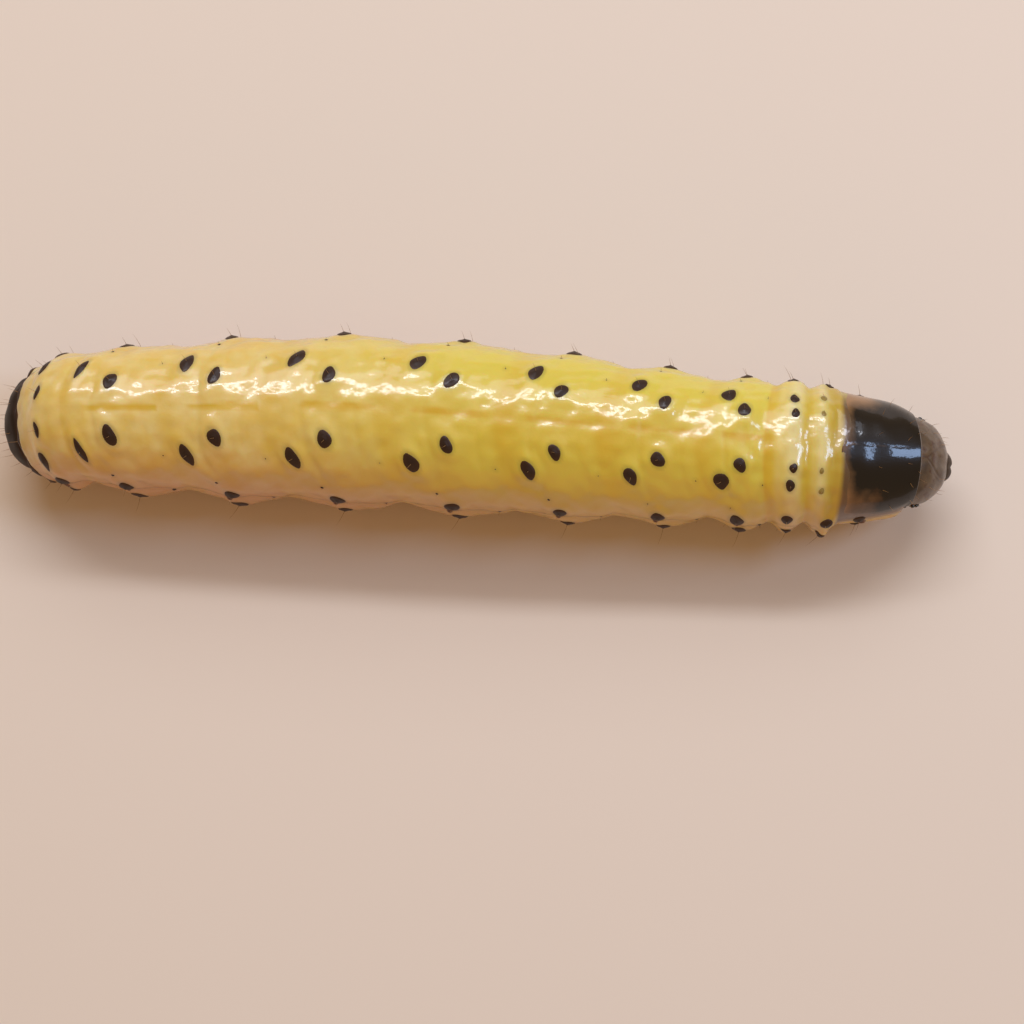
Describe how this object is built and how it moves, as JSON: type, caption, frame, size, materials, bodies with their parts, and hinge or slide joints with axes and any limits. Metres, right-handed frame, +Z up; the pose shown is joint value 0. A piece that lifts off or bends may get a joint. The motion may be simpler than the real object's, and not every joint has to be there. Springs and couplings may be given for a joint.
{
  "type": "leopard moth larva",
  "caption": "Still life-size model of a full-grown wood-boring moth larva: smooth yellow segmented body with dark raised dots, dark neck and tail shields, brown head, short legs.",
  "frame": {"origin": "middle of the larva's outline on the floor, at the level of the soles", "axes": "+X towards the head along the body, +Y to the larva's left side, +Z up"},
  "size_m": [0.0519, 0.0129, 0.0094],
  "materials": {
    "skin": "smooth, moist, slightly see-through yellow cuticle with black-brown dots",
    "shield": "glossy black-brown hardened plate",
    "head": "glossy dark brown hardened capsule",
    "mouth": "glossy black-brown",
    "leg": "amber brown, satin",
    "eye": "polished black lenses"
  },
  "bodies": {
    "root": {"abdomen_1": "skin", "abdomen_10": "skin", "abdomen_2": "skin", "abdomen_3": "skin", "abdomen_4": "skin", "abdomen_5": "skin", "abdomen_6": "skin", "abdomen_7": "skin", "abdomen_8": "skin", "abdomen_9": "skin", "anal_proleg_left": "skin", "anal_proleg_right": "skin", "anal_shield": "shield", "antenna_left": "head", "antenna_right": "head", "head_capsule": "head", "labium": "head", "labrum": "head", "mandible_left": "mouth", "mandible_right": "mouth", "mesothorax": "skin", "mesothorax_leg_left": "leg", "mesothorax_leg_right": "leg", "metathorax": "skin", "metathorax_leg_left": "leg", "metathorax_leg_right": "leg", "proleg_3_left": "skin", "proleg_3_right": "skin", "proleg_4_left": "skin", "proleg_4_right": "skin", "proleg_5_left": "skin", "proleg_5_right": "skin", "proleg_6_left": "skin", "proleg_6_right": "skin", "prothoracic_shield": "shield", "prothorax": "skin", "prothorax_leg_left": "leg", "prothorax_leg_right": "leg", "stemmata_left": "eye", "stemmata_right": "eye"}
  },
  "joints": []
}
